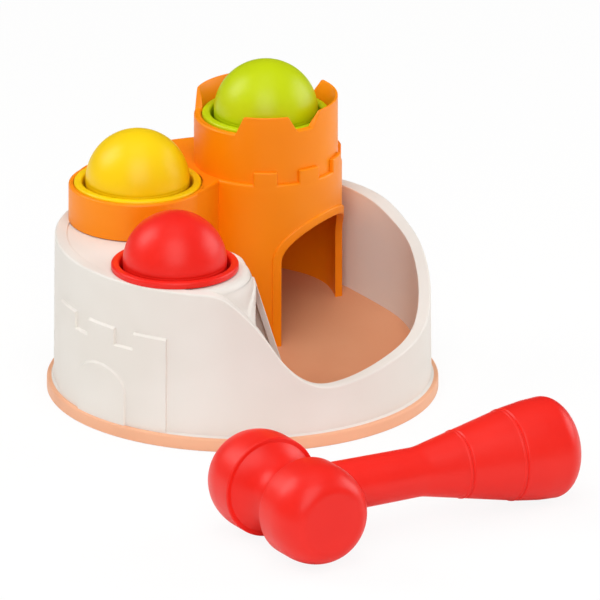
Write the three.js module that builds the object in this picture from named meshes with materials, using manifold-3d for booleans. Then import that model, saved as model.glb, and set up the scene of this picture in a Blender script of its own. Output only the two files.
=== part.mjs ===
import * as THREE from 'three';
import { mergeVertices } from 'three/addons/utils/BufferGeometryUtils.js';
import Module from 'manifold-3d';

const wasm = await Module();
wasm.setup();

// Ball pounding toy: a round castle with three ball stations, and its hammer.
// Millimetres, +Z up. The origin is the centre of the base's underside.
// Headings are degrees turned from -Y towards +X, seen from above.

// Fits
const seatGap = 0.3; // between pieces that seat in or against each other
const doorPlay = 1.2; // a doorway is wider than a ball by this much
const shaftPlay = 1.5; // a drop hole's radius is larger than a ball's by this much

// Balls: two hollow halves each
const ballRadius = 24;
const ballWall = 2;

// Station rings and the soft grips under them
const ringPlay = 1.6; // open gap round the ball inside its ring
const ringWall = 1.6;
const ringFlangeWidth = 2.2;
const ringFlange = 3;
const ringEdge = 0.9;
const ringDepth = 12;
const gripThickness = 2;

// Base and the sloped floor on it
const baseRadius = 90;
const baseThickness = 6;
const baseEdge = 2.4;
const floorHeight = 8; // of the level front, above the ground
const floorThickness = 2.4;
const trayHeight = 12; // of the slope at the centre of the base
const trayRise = 0.24;
const trayHeading = 194.4; // uphill
const chuteHeight = 8;
const chuteRise = 0.15;
const chuteHeading = 270;

// Round wall: its rim sinks to the front as a share of the deck's height
const wallSetback = 3;
const wallWidth = 5.7;
const rimEdge = 2.4;
const rimLow = 27.4;
const rimShares = [
  [-15, 1], [-6, 0.96], [4, 0.675], [14, 0.24], [22, 0.046], [31, 0], [52, 0.07],
  [76, 0.18], [90, 0.38], [108, 0.68], [130, 0.9], [150, 0.98], [168, 1],
];
const ledgeWidth = 2.6;
const ledgeThickness = 3;

// Castle picture in low relief on the wall
const pictureHeading = -48.3;
const pictureProud = 0.8;
const pictureTop = 52;
const pictureNotch = 7.8;
const pictureMerlon = 11.8; // degrees
const pictureGap = 7.0; // degrees
const pictureDoorWidth = 32;
const pictureDoorSpring = 21.5;
const pictureDoorApex = 33;
const pictureDoorProud = 0.8; // beyond the picture's own face

// Deck with the flared hood round the red station
const deckHeight = 75;
const deckThickness = 2.5;
const hoodMargin = 4.5; // from the red ring's edge to the hood's top edge
const hoodFlare = 0.31; // outward run for each millimetre down
const hoodWall = 2.5;
const hoodStartTurn = 23.4; // where the hood's wall starts, from the station's own heading
const exitTurn = 130.4; // from the red station's heading
const exitSpring = 43;
const exitApex = 62.1;
const porchMargin = 2.6; // from the exit's surround to the porch's outer side

// Orange castle body: door tower, low drum and the wall between them
const drumHeight = 17.8;
const drumRim = 2.1;
const bodyWall = 2.6;
const bodyTopThickness = 4.8;
const linkHeading = 61; // where the straight wall leaves the drum
const hoodJoinHeading = 40; // where the hood's wall meets the drum
const towerWall = 3.4;
const towerStep = 1.6;
const socketDepth = 4.8;
const doorTurn = 246.3; // from the green station's heading
const doorSpring = 54.7;
const doorApex = 71.6;
const frameWidth = 4.4;
const frameProud = 1;
const towerMerlonCount = 4;
const towerMerlonPitch = 36; // degrees
const towerMerlonWidth = 18.5; // degrees
const towerMerlonHeight = 6;

// Crown on the tower
const crownWall = 3.4;
const crownHeight = 33; // above the body's top
const crownRingDepth = 8.8; // from the crown's top down to its ring's top
const crownLedge = 4.5;
const notchSlant = 7.5; // degrees that a notch widens to each side
const notchDepth = 7.8;
const wideNotchDepth = 9.8;
const crownNotches = [ // in degrees from the door's heading
  { from: -28.5, to: -14, depth: notchDepth },
  { from: 84.5, to: 99.5, depth: notchDepth },
  { from: 210, to: 280.5, depth: wideNotchDepth },
];

// Stations: how far each axis stands in from the wall's outer face, and from its neighbour
const greenInset = 36.85;
const yellowInset = 34.9;
const redInset = 30.4;
const yellowHeading = -112.1;
const towerSpacing = 65.88; // from the drum's axis to the tower's
const hoodSpacing = 69.01; // from the drum's axis to the hood's

// Screws that hold the base to the wall
const screwCount = 6;
const screwShank = 1.4;
const screwHead = 3;
const screwHeadHeight = 2;
const screwSink = 3;
const screwLength = 14;

// Hammer, lying on the ground in front
const hammerAcross = 20.6; // from the castle's axis
const hammerAway = 125.8; // from the base's edge
const hammerTurn = 30.1;
const headRadius = 24.5;
const headReach = 43; // from the handle's axis to a striking face
const headFace = 13;
const headBandFrom = 20;
const headBandTo = 30;
const headInner = 14.6; // where a head cap starts
const headInnerRadius = 20.5;
const headWall = 2.6;
const waistEnd = 19.6;
const waistMiddle = 14.5;
const spigotRadius = 16;
const spigotLength = 7;
const waistBore = 11;
const handleRadius = 11.25;
const handleSpigot = 8.6;
const handleWall = 2.6;
const handleStart = 11.6;
const neckEnd = 69;
const firstGrooveAt = 92.4;
const firstGrooveRadius = 16.5;
const secondGrooveAt = 118;
const secondGrooveRadius = 21.5;
const gripGroove = 0.7;
const swellAt = 137;
const swellRadius = 24;
const handleLength = 153;

// Sizes that follow from these
const wallOuter = baseRadius - wallSetback;
const wallInner = wallOuter - wallWidth;
const insideRadius = wallInner - seatGap;
const ringInner = ballRadius + ringPlay;
const ringTube = ringInner + ringWall;
const ringOuter = ringTube + ringFlangeWidth;
const ringHole = ringTube + seatGap;
const ringSeat = ringOuter + seatGap;
const drumRadius = ringSeat + drumRim;
const crownInner = ringSeat;
const crownOuter = crownInner + crownWall;
const towerRadius = crownOuter + seatGap + towerStep;
const towerBore = towerRadius - towerWall;
const hoodRadius = ringOuter + hoodMargin;
const bodyTop = deckHeight + drumHeight;
const crownSeat = bodyTop - socketDepth;
const crownTop = bodyTop + crownHeight;
const backRadius = wallOuter - yellowInset + drumRadius;
const doorWidth = 2 * ballRadius + doorPlay;
const surroundWidth = doorWidth + 2 * frameWidth;
const porchWidth = surroundWidth + 2 * porchMargin;
const redTop = deckHeight + ringFlange;
const yellowTop = bodyTop + ringEdge;
const greenTop = crownTop - crownRingDepth;
const stationDepth = ringDepth + gripThickness + seatGap; // room for a ring and its grip

const roundSides = 36;
const ballSides = 20;
const ringSides = 32;
const hammerSides = 24;
const screwSides = 8;
const wallSteps = 60;
const archSteps = 12;
const hoodSteps = 14;
const edgeSteps = 2;
const domeSteps = 4;
const ballSteps = 6;
const sectorStep = 7; // degrees
const weldDistance = 1e-4;
const cutPast = 1; // a cut starts and ends this far outside its piece
const reach = 2 * baseRadius; // past every edge of the castle

const orange = { color: 0xf9800f, roughness: 0.42 };
const yellow = { color: 0xf9d20c, roughness: 0.38 };
const green = { color: 0xc6da0c, roughness: 0.38 };
const red = { color: 0xf2322a, roughness: 0.38 };
const white = { color: 0xefe8e0, roughness: 0.5 };
const salmon = { color: 0xe8b394, roughness: 0.5 };
const steel = { color: 0xb9bcc0, roughness: 0.35, metalness: 0.9 };

const toRadians = THREE.MathUtils.degToRad;

function direction(heading) {
  const angle = toRadians(heading);
  return new THREE.Vector2(Math.sin(angle), -Math.cos(angle));
}

function placeOf(inset, heading) {
  return direction(heading).multiplyScalar(wallOuter - inset);
}

// Degrees at the centre of the base between the drum's axis and a neighbour's.
function turnFromDrum(inset, spacing) {
  const near = wallOuter - yellowInset;
  const far = wallOuter - inset;
  const cosine = (near ** 2 + far ** 2 - spacing ** 2) / (2 * near * far);
  return THREE.MathUtils.radToDeg(Math.acos(cosine));
}

const greenHeading = yellowHeading - turnFromDrum(greenInset, towerSpacing);
const redHeading = yellowHeading + turnFromDrum(redInset, hoodSpacing);
const doorHeading = greenHeading + doorTurn;
const exitHeading = redHeading + exitTurn;
const hoodStart = redHeading + hoodStartTurn;
const tower = placeOf(greenInset, greenHeading);
const drum = placeOf(yellowInset, yellowHeading);
const hood = placeOf(redInset, redHeading);

// Solids

function toSolid(geometry) {
  const bare = geometry.clone();
  bare.deleteAttribute('normal');
  bare.deleteAttribute('uv');
  const merged = mergeVertices(bare, weldDistance);
  const corners = merged.index.array;
  const faces = [];
  for (let i = 0; i < corners.length; i += 3) {
    const [a, b, c] = corners.slice(i, i + 3);
    if (a !== b && b !== c && c !== a) {
      faces.push(a, b, c);
    }
  }
  return new wasm.Manifold(new wasm.Mesh({
    numProp: 3,
    vertProperties: merged.attributes.position.array,
    triVerts: new Uint32Array(faces),
  }));
}

function toGeometry(solid) {
  const mesh = solid.getMesh();
  const geometry = new THREE.BufferGeometry();
  geometry.setAttribute('position', new THREE.BufferAttribute(mesh.vertProperties, mesh.numProp));
  geometry.setIndex(new THREE.BufferAttribute(mesh.triVerts, 1));
  return geometry;
}

// Turns a profile of radius and height pairs about Z, through a point of the plan.
function turned(profile, centre = new THREE.Vector2(), sides = roundSides) {
  const points = profile.map(([radius, height]) => new THREE.Vector2(radius, height));
  const geometry = new THREE.LatheGeometry(points, sides);
  geometry.rotateX(Math.PI / 2);
  geometry.translate(centre.x, centre.y, 0);
  return toSolid(geometry);
}

function disc(centre, radius, bottom, top) {
  return turned([[0, bottom], [radius, bottom], [radius, top], [0, top]], centre);
}

// Raises a plan outline from one height to another.
function prism(shape, bottom, top) {
  const geometry = new THREE.ExtrudeGeometry(shape, {
    depth: top - bottom, bevelEnabled: false, curveSegments: roundSides / 2,
  });
  geometry.translate(0, 0, bottom);
  return toSolid(geometry);
}

// Skins rings of points that follow each other; a loop also joins the last ring to the first.
function skinned(rings, loop = false) {
  const count = rings[0].length;
  const faces = [];
  const spans = loop ? rings.length : rings.length - 1;
  for (let i = 0; i < spans; i++) {
    const near = i * count;
    const far = ((i + 1) % rings.length) * count;
    for (let j = 0; j < count; j++) {
      const k = (j + 1) % count;
      faces.push(near + j, far + j, far + k);
      faces.push(near + j, far + k, near + k);
    }
  }
  const last = (rings.length - 1) * count;
  for (let j = 1; j < count - 1 && !loop; j++) {
    faces.push(0, j, j + 1);
    faces.push(last, last + j + 1, last + j);
  }
  const geometry = new THREE.BufferGeometry();
  geometry.setFromPoints(rings.flat());
  geometry.setIndex(faces);
  return toSolid(geometry);
}

// A block of a round wall, between two headings that may differ at its foot and its head.
function sector(centre, inner, outer, foot, head, bottom, top) {
  const steps = Math.max(2, Math.ceil(Math.abs(head[1] - head[0]) / sectorStep));
  const rings = [];
  for (let i = 0; i <= steps; i++) {
    const low = direction(THREE.MathUtils.lerp(foot[0], foot[1], i / steps));
    const high = direction(THREE.MathUtils.lerp(head[0], head[1], i / steps));
    const at = (way, radius, height) => new THREE.Vector3(
      centre.x + way.x * radius, centre.y + way.y * radius, height,
    );
    rings.push([
      at(low, inner, bottom), at(low, outer, bottom), at(high, outer, top), at(high, inner, top),
    ]);
  }
  return skinned(rings);
}

// An arched doorway's inside, from a point of the plan outwards along a heading.
function archway(centre, heading, width, spring, apex, length) {
  const shape = new THREE.Shape();
  shape.moveTo(-width / 2, 0);
  shape.lineTo(width / 2, 0);
  shape.lineTo(width / 2, spring);
  shape.absellipse(0, spring, width / 2, apex - spring, 0, Math.PI, false);
  shape.lineTo(-width / 2, 0);
  const geometry = new THREE.ExtrudeGeometry(shape, {
    depth: length, bevelEnabled: false, curveSegments: archSteps,
  });
  const out = direction(heading);
  const outward = new THREE.Vector3(out.x, out.y, 0);
  const up = new THREE.Vector3(0, 0, 1);
  const across = new THREE.Vector3().crossVectors(up, outward);
  geometry.applyMatrix4(new THREE.Matrix4().makeBasis(across, up, outward));
  geometry.translate(centre.x, centre.y, 0);
  return toSolid(geometry);
}

// Quarter of an ellipse as profile points, from one angle to another in degrees.
function bend(radius, height, across, along, from, to, steps) {
  const points = [];
  for (let i = 0; i <= steps; i++) {
    const angle = toRadians(THREE.MathUtils.lerp(from, to, i / steps));
    points.push([radius + across * Math.cos(angle), height + along * Math.sin(angle)]);
  }
  return points;
}

// Floor

// Everything under one slope that rises along a heading, raised by a lift, down to a bottom height.
function underSlope(middle, rise, heading, lift, bottom) {
  const foot = (bottom - middle - lift) / rise;
  const shape = new THREE.Shape();
  shape.moveTo(foot, bottom);
  shape.lineTo(reach, bottom);
  shape.lineTo(reach, middle + lift + rise * reach);
  shape.lineTo(foot, bottom);
  const geometry = new THREE.ExtrudeGeometry(shape, { depth: 2 * reach, bevelEnabled: false });
  geometry.translate(0, 0, -reach);
  const uphill = direction(heading);
  const along = new THREE.Vector3(uphill.x, uphill.y, 0);
  const up = new THREE.Vector3(0, 0, 1);
  const across = new THREE.Vector3().crossVectors(along, up);
  geometry.applyMatrix4(new THREE.Matrix4().makeBasis(along, up, across));
  return toSolid(geometry);
}

// Everything under the floor's top face: the two slopes and the level front.
function underFloor(lift, bottom) {
  const slopes = underSlope(trayHeight, trayRise, trayHeading, lift, bottom)
    .add(underSlope(chuteHeight, chuteRise, chuteHeading, lift, bottom));
  const level = floorHeight + lift;
  if (level <= bottom) {
    return slopes;
  }
  return slopes.add(disc(new THREE.Vector2(), reach, bottom, level));
}

function rampFloor() {
  const centre = new THREE.Vector2();
  const top = underFloor(0, baseThickness).intersect(disc(centre, insideRadius, 0, reach));
  const hollow = underFloor(-floorThickness, baseThickness - floorThickness)
    .intersect(disc(centre, insideRadius - floorThickness, 0, reach));
  return top.subtract(hollow);
}

const floorSpace = underFloor(seatGap, 0);

// Base

const screwRing = wallOuter - wallWidth / 2;

function screwPlace(index) {
  return direction((index + 0.5) * 360 / screwCount).multiplyScalar(screwRing);
}

function basePlate() {
  let plate = turned([
    [0, 0], [baseRadius, 0],
    ...bend(baseRadius - baseEdge, baseThickness - baseEdge, baseEdge, baseEdge, 0, 90, edgeSteps),
    [0, baseThickness],
  ], new THREE.Vector2(), wallSteps);
  for (let i = 0; i < screwCount; i++) {
    const place = screwPlace(i);
    const hole = turned([
      [0, -cutPast], [screwHead + seatGap, -cutPast], [screwHead + seatGap, screwSink],
      [screwShank + seatGap, screwSink], [screwShank + seatGap, baseThickness + cutPast],
      [0, baseThickness + cutPast],
    ], place, screwSides);
    plate = plate.subtract(hole);
  }
  return plate;
}

function baseScrew(index) {
  return turned([
    [0, screwSink - screwHeadHeight], [screwHead, screwSink - screwHeadHeight],
    [screwHead, screwSink], [screwShank, screwSink], [screwShank, screwLength], [0, screwLength],
  ], screwPlace(index), screwSides);
}

// Wall

// Rim height over heading: a smooth curve through the shares of the deck's height.
function rimHeight(heading) {
  const first = rimShares[0];
  const last = rimShares[rimShares.length - 1];
  const turnedTo = THREE.MathUtils.euclideanModulo(heading - first[0], 360) + first[0];
  if (turnedTo >= last[0]) {
    return deckHeight;
  }
  const next = rimShares.findIndex(([at]) => at > turnedTo);
  const slopeAt = (index) => {
    const before = rimShares[index - 1];
    const after = rimShares[index + 1];
    if (!before || !after) {
      return 0;
    }
    return (after[1] - before[1]) / (after[0] - before[0]);
  };
  const [fromAt, fromShare] = rimShares[next - 1];
  const [toAt, toShare] = rimShares[next];
  const span = toAt - fromAt;
  const t = (turnedTo - fromAt) / span;
  const share = fromShare * (1 + 2 * t) * (1 - t) ** 2 + toShare * t * t * (3 - 2 * t)
    + span * (slopeAt(next - 1) * t * (1 - t) ** 2 - slopeAt(next) * t * t * (1 - t));
  return THREE.MathUtils.lerp(rimLow, deckHeight, share);
}

function castlePicture() {
  const centre = new THREE.Vector2();
  const inner = wallOuter - rimEdge;
  const outer = wallOuter + pictureProud;
  const pitch = pictureMerlon + pictureGap;
  const half = pitch + pictureMerlon / 2;
  const span = [pictureHeading - half, pictureHeading + half];
  let picture = sector(centre, inner, outer, span, span, baseThickness, pictureTop - pictureNotch);
  for (let i = -1; i <= 1; i++) {
    const middle = pictureHeading + i * pitch;
    const merlon = [middle - pictureMerlon / 2, middle + pictureMerlon / 2];
    picture = picture.add(sector(centre, inner, outer, merlon, merlon, baseThickness, pictureTop));
  }
  const door = archway(
    centre, pictureHeading, pictureDoorWidth, pictureDoorSpring, pictureDoorApex, reach,
  );
  const doorOuter = outer + pictureDoorProud;
  return picture.add(
    sector(centre, inner, doorOuter, span, span, baseThickness, pictureTop).intersect(door),
  );
}

function castleWall() {
  const rings = [];
  for (let i = 0; i < wallSteps; i++) {
    const heading = i * 360 / wallSteps;
    const way = direction(heading);
    const top = rimHeight(heading);
    const profile = [
      [wallInner, baseThickness], [wallOuter, baseThickness],
      ...bend(wallOuter - rimEdge, top - rimEdge, rimEdge, rimEdge, 0, 90, edgeSteps),
      ...bend(wallInner + rimEdge, top - rimEdge, rimEdge, rimEdge, 90, 180, edgeSteps),
    ];
    rings.push(profile.map(([radius, height]) => new THREE.Vector3(
      way.x * radius, way.y * radius, height,
    )));
  }
  const ledgeTop = deckHeight - deckThickness;
  const ledge = disc(new THREE.Vector2(), wallInner + rimEdge, ledgeTop - ledgeThickness, ledgeTop)
    .subtract(disc(new THREE.Vector2(), wallInner - ledgeWidth, 0, reach))
    .intersect(prism(blockOutline(), 0, reach))
    .subtract(disc(tower, towerRadius + seatGap, 0, reach))
    .subtract(valleyWall(seatGap, 0, reach))
    .subtract(hoodSkirt(seatGap, hoodWall + 2 * seatGap));
  let wall = skinned(rings, true).add(castlePicture()).add(ledge)
    .subtract(disc(hood, ringHole, redTop - stationDepth, reach))
    .subtract(disc(hood, ballRadius + shaftPlay, baseThickness, reach));
  for (let i = 0; i < screwCount; i++) {
    wall = wall.subtract(turned([
      [0, 0], [screwShank + seatGap, 0], [screwShank + seatGap, screwLength + seatGap],
      [0, screwLength + seatGap],
    ], screwPlace(i), screwSides));
  }
  return wall;
}

// Deck and hood

const hoodJoin = direction(hoodJoinHeading).multiplyScalar(drumRadius).add(drum);

// The heading on the hood's circle where its straight wall to the drum starts.
function hoodTangent() {
  const way = hoodJoin.clone().sub(hood);
  const bearing = THREE.MathUtils.radToDeg(Math.atan2(way.x, -way.y));
  const heading = THREE.MathUtils.euclideanModulo(bearing, 360);
  return heading - THREE.MathUtils.radToDeg(Math.acos(hoodRadius / way.length()));
}

// Plan of the roofed half: everything left of the hood, the link wall and the tower.
function blockOutline() {
  const shape = new THREE.Shape();
  const middle = drumRadius - bodyWall / 2;
  const link = linkLine(bodyWall / 2);
  const toAngle = (heading) => toRadians(heading - 90);
  shape.moveTo(-reach, -reach);
  shape.lineTo(hood.x, -reach);
  shape.absarc(hood.x, hood.y, hoodRadius, toAngle(hoodStart), toAngle(hoodTangent()), false);
  shape.absarc(drum.x, drum.y, middle, toAngle(hoodJoinHeading), toAngle(linkHeading), false);
  shape.lineTo(link[1].x, link[1].y);
  shape.lineTo(tower.x, tower.y);
  shape.lineTo(tower.x, reach);
  shape.lineTo(-reach, reach);
  shape.lineTo(-reach, -reach);
  return shape;
}

// A wall that leans out below the deck, along stations of a path; its outer face moves by an offset.
function leaningWall(stations, offset, thickness) {
  const drop = deckHeight - baseThickness;
  const rings = stations.map(({ at, way }) => {
    const point = (out, height) => new THREE.Vector3(at.x + way.x * out, at.y + way.y * out, height);
    const inner = offset - thickness;
    return [
      point(inner + hoodFlare * drop, baseThickness), point(offset + hoodFlare * drop, baseThickness),
      point(offset, deckHeight), point(inner, deckHeight),
    ];
  });
  return skinned(rings);
}

// The hood's wall: round the station, then straight on to the drum.
function hoodSkirt(offset, thickness) {
  const end = hoodTangent();
  const stations = [];
  for (let i = 0; i <= hoodSteps; i++) {
    const way = direction(THREE.MathUtils.lerp(hoodStart, end, i / hoodSteps));
    stations.push({ at: way.clone().multiplyScalar(hoodRadius).add(hood), way });
  }
  stations.push({ at: hoodJoin, way: direction(end) });
  return leaningWall(stations, offset, thickness);
}

// The far half of the exit's wall: flat, from the hood's side to the porch's corner.
function porchFront(offset, thickness) {
  const way = direction(exitHeading);
  const start = way.clone().multiplyScalar(hoodRadius).add(hood);
  const corner = direction(exitHeading + 90).multiplyScalar(porchWidth / 2).add(start);
  return leaningWall([{ at: start, way }, { at: corner, way }], offset, thickness);
}

// An arch on the exit's axis, wider than the doorway all round.
function exitArch(width) {
  return archway(hood, exitHeading, width, exitSpring, exitApex + (width - doorWidth) / 2, reach);
}

function deckPlate() {
  const centre = new THREE.Vector2();
  const inside = disc(centre, insideRadius, 0, reach);
  const exit = exitArch(doorWidth);
  const frame = exitArch(surroundWidth);
  const porch = exitArch(porchWidth);
  const porchRoom = exitArch(porchWidth - 2 * hoodWall).intersect(porchFront(-hoodWall, hoodRadius));
  const shell = porchFront(0, hoodRadius).intersect(porch).subtract(porchRoom);
  const surround = hoodSkirt(frameProud, frameProud + hoodWall / 2)
    .add(porchFront(frameProud, frameProud + hoodWall / 2)).intersect(frame);
  const drop = deckHeight - baseThickness;
  const hoodInner = hoodRadius - hoodWall;
  const hoodRoom = turned([
    [0, baseThickness], [hoodInner + hoodFlare * drop, baseThickness], [hoodInner, deckHeight],
    [0, deckHeight],
  ], hood);
  const clearOfBody = bodyPlan(-seatGap, 0, reach);
  const skirt = hoodSkirt(0, hoodWall).subtract(porchRoom).add(shell.subtract(hoodRoom))
    .add(surround).subtract(exit).subtract(clearOfBody).subtract(floorSpace);
  const plate = prism(blockOutline(), deckHeight - deckThickness, deckHeight)
    .subtract(disc(tower, towerRadius + seatGap, 0, reach))
    .subtract(valleyWall(seatGap, 0, reach))
    .subtract(disc(drum, ballRadius + shaftPlay, 0, reach));
  return plate.add(skirt).intersect(inside)
    .subtract(disc(hood, ringHole, redTop - stationDepth, reach));
}

// Castle body

// The straight wall between drum and tower, moved in by an inset: its line's start on the drum,
// and its end abreast of the tower's axis.
function linkLine(inset) {
  const out = direction(linkHeading);
  const along = new THREE.Vector2(-out.y, out.x);
  const start = out.clone().multiplyScalar(drumRadius - inset).add(drum);
  const length = tower.clone().sub(start).dot(along);
  return [start, along.multiplyScalar(length).add(start)];
}

// The body's plan with every side moved in by an inset.
function bodyPlan(inset, bottom, top) {
  const link = linkLine(inset);
  const back = backRadius - inset;
  const shape = new THREE.Shape();
  shape.moveTo(drum.x, drum.y);
  shape.lineTo(link[0].x, link[0].y);
  shape.lineTo(link[1].x, link[1].y);
  shape.lineTo(tower.x, tower.y);
  shape.absarc(
    0, 0, back, toRadians(greenHeading - 90), toRadians(yellowHeading - 90), false,
  );
  shape.lineTo(drum.x, drum.y);
  return prism(shape, bottom, top)
    .add(disc(drum, drumRadius - inset, bottom, top))
    .add(disc(tower, towerRadius - inset, bottom, top));
}

// The body's wall below the deck, between the hood and the tower, with a clearance all round.
function valleyWall(clearance, bottom, top) {
  const outer = linkLine(-clearance);
  const inner = linkLine(bodyWall + clearance);
  const shape = new THREE.Shape();
  const from = toRadians(hoodJoinHeading - 90);
  const to = toRadians(linkHeading - 90);
  shape.absarc(drum.x, drum.y, drumRadius + clearance, from, to, false);
  shape.lineTo(outer[1].x, outer[1].y);
  shape.lineTo(inner[1].x, inner[1].y);
  shape.absarc(drum.x, drum.y, drumRadius - bodyWall - clearance, to, from, true);
  return prism(shape, bottom, top);
}

function castleBody() {
  const centre = new THREE.Vector2();
  const upper = bodyPlan(0, deckHeight, bodyTop)
    .subtract(bodyPlan(bodyWall, 0, bodyTop - bodyTopThickness));
  const lower = disc(tower, towerRadius, baseThickness, deckHeight)
    .add(valleyWall(0, baseThickness, deckHeight))
    .intersect(disc(centre, insideRadius, 0, deckHeight));
  const tube = disc(tower, towerRadius, deckHeight, bodyTop);
  const frame = archway(
    tower, doorHeading, surroundWidth, doorSpring, doorApex + frameWidth, reach,
  );
  const surround = disc(tower, towerRadius + frameProud, baseThickness, bodyTop).intersect(frame);
  let body = upper.add(lower).add(tube).add(surround);
  for (let i = 0; i < towerMerlonCount; i++) {
    const middle = doorHeading + (i - (towerMerlonCount - 1) / 2) * towerMerlonPitch;
    const span = [middle - towerMerlonWidth / 2, middle + towerMerlonWidth / 2];
    const top = bodyTop + towerMerlonHeight;
    body = body.add(sector(tower, towerBore, towerRadius, span, span, crownSeat, top));
  }
  const recess = yellowTop - ringFlange;
  return body
    .subtract(disc(tower, towerBore, 0, reach))
    .subtract(disc(tower, crownOuter + seatGap, crownSeat, reach))
    .subtract(archway(tower, doorHeading, doorWidth, doorSpring, doorApex, reach))
    .subtract(disc(drum, ringHole, deckHeight, reach))
    .subtract(disc(drum, ringSeat, recess, reach))
    .subtract(floorSpace);
}

// Crown

function towerCrown() {
  const seat = greenTop - ringFlange;
  let crown = turned([
    [crownInner, crownSeat], [crownOuter, crownSeat], [crownOuter, crownTop], [crownInner, crownTop],
    [crownInner, seat], [ringHole, seat], [ringHole, seat - crownLedge],
    [crownInner, seat - crownLedge], [crownInner, crownSeat],
  ], tower);
  for (const notch of crownNotches) {
    const foot = [doorHeading + notch.from, doorHeading + notch.to];
    const head = [foot[0] - notchSlant, foot[1] + notchSlant];
    const inner = crownInner - ringFlangeWidth;
    const outer = crownOuter + towerStep;
    crown = crown.subtract(
      sector(tower, inner, outer, foot, head, crownTop - notch.depth, crownTop),
    );
  }
  return crown;
}

// Stations

function stationRing(place, top) {
  return turned([
    [ringInner, top - ringDepth], [ringTube, top - ringDepth], [ringTube, top - ringFlange],
    [ringOuter, top - ringFlange], [ringOuter, top - ringEdge], [ringOuter - ringEdge, top],
    [ringInner + ringEdge, top], [ringInner, top - ringEdge], [ringInner, top - ringDepth],
  ], place, ringSides);
}

// A soft washer under the ring, narrower than the ball that sits on its lip.
function stationGrip(place, top) {
  const head = top - ringDepth;
  const lip = Math.sqrt((ballRadius + seatGap) ** 2 - ringDepth ** 2);
  return turned([
    [lip, head - gripThickness], [ringTube, head - gripThickness], [ringTube, head],
    [lip, head], [lip, head - gripThickness],
  ], place, ringSides);
}

function ballHalf(place, middle, side) {
  const inner = ballRadius - ballWall;
  const shell = [
    ...bend(0, 0, inner, inner, 90, 0, domeSteps),
    ...bend(0, 0, ballRadius, ballRadius, 0, 90, ballSteps),
  ];
  const half = shell.map(([radius, height]) => [Math.max(radius, 0), middle + side * height]);
  return turned(side > 0 ? half : half.reverse(), place, ballSides);
}

// Hammer, with its handle along X, its head along Y and its axes at the head's radius

// Turns a profile of radius and distance pairs about Y.
function turnedOnHead(profile) {
  const points = profile.map(([radius, along]) => new THREE.Vector2(radius, along));
  return toSolid(new THREE.LatheGeometry(points, hammerSides));
}

function waistProfile(grow) {
  const middle = [];
  const end = headInner - seatGap;
  for (let i = 0; i <= domeSteps; i++) {
    const along = THREE.MathUtils.lerp(-end, end, i / domeSteps);
    const share = (along / headInner) ** 2;
    middle.push([THREE.MathUtils.lerp(waistMiddle, waistEnd, share) + grow, along]);
  }
  return middle;
}

function hammerWaist() {
  const end = headInner + spigotLength;
  const start = headInner - seatGap;
  const waist = turnedOnHead([
    [waistBore, -end], [spigotRadius, -end], [spigotRadius, -start],
    ...waistProfile(0),
    [spigotRadius, start], [spigotRadius, end], [waistBore, end], [waistBore, -end],
  ]);
  const socket = new THREE.CylinderGeometry(
    handleSpigot + seatGap, handleSpigot + seatGap, headReach, hammerSides,
  );
  socket.rotateZ(Math.PI / 2);
  socket.translate(headReach / 2, 0, 0);
  return waist.subtract(toSolid(socket));
}

function hammerCap(side) {
  const faceEdge = headReach - headBandTo;
  const outside = [
    ...bend(headInnerRadius, headBandFrom, headRadius - headInnerRadius, headBandFrom - headInner,
      -90, 0, edgeSteps),
    ...bend(headFace, headBandTo, headRadius - headFace, faceEdge, 0, 90, domeSteps),
    [0, headReach],
  ];
  const bore = spigotRadius + seatGap;
  const inside = [
    [0, headReach - headWall], [headFace, headReach - headWall],
    [headRadius - headWall, headBandTo], [headRadius - headWall, headBandFrom],
    [bore, headInner + headWall], [bore, headInner],
  ];
  const cap = turnedOnHead([...inside, ...outside]);
  return side > 0 ? cap : cap.rotate([0, 0, 180]);
}

function hammerHandle() {
  const dome = handleLength - swellAt;
  const groove = (at, radius) => [
    [radius, at - gripGroove], [radius - gripGroove, at], [radius, at + gripGroove],
  ];
  const outside = [
    [handleSpigot, handleStart], [handleSpigot, waistMiddle], [handleRadius, waistMiddle],
    [handleRadius, neckEnd],
    ...groove(firstGrooveAt, firstGrooveRadius), ...groove(secondGrooveAt, secondGrooveRadius),
    ...bend(0, swellAt, swellRadius, dome, 0, 90, domeSteps),
  ];
  const thin = (radius) => radius - gripGroove - handleWall;
  const inside = [
    ...bend(0, swellAt, thin(swellRadius), dome - handleWall, 90, 0, domeSteps),
    [thin(secondGrooveRadius), secondGrooveAt], [thin(firstGrooveRadius), firstGrooveAt],
    [handleSpigot - handleWall, neckEnd], [handleSpigot - handleWall, handleStart],
  ];
  const points = [...inside, ...outside].map(([radius, along]) => new THREE.Vector2(
    Math.max(radius, 0), along,
  ));
  const geometry = new THREE.LatheGeometry(points, hammerSides);
  geometry.rotateZ(-Math.PI / 2);
  const neck = turnedOnHead([
    [0, -headInner], ...waistProfile(seatGap), [0, headInner],
  ]);
  const spigot = new THREE.CylinderGeometry(handleSpigot, handleSpigot, headReach, hammerSides);
  spigot.rotateZ(Math.PI / 2);
  return toSolid(geometry).subtract(neck.subtract(toSolid(spigot)));
}

// Assembly

function piece(name, solid, finish) {
  const material = new THREE.MeshStandardMaterial({ metalness: 0, ...finish });
  const mesh = new THREE.Mesh(toGeometry(solid), material);
  mesh.name = name;
  return mesh;
}

const toy = new THREE.Group();
toy.add(piece('base_plate', basePlate(), salmon));
toy.add(piece('ramp_floor', rampFloor(), salmon));
toy.add(piece('castle_wall', castleWall(), white));
toy.add(piece('hood_deck', deckPlate(), white));
toy.add(piece('castle_body', castleBody(), orange));
toy.add(piece('tower_crown', towerCrown(), orange));
for (let i = 0; i < screwCount; i++) {
  toy.add(piece(`base_screw_${i + 1}`, baseScrew(i), steel));
}

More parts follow.
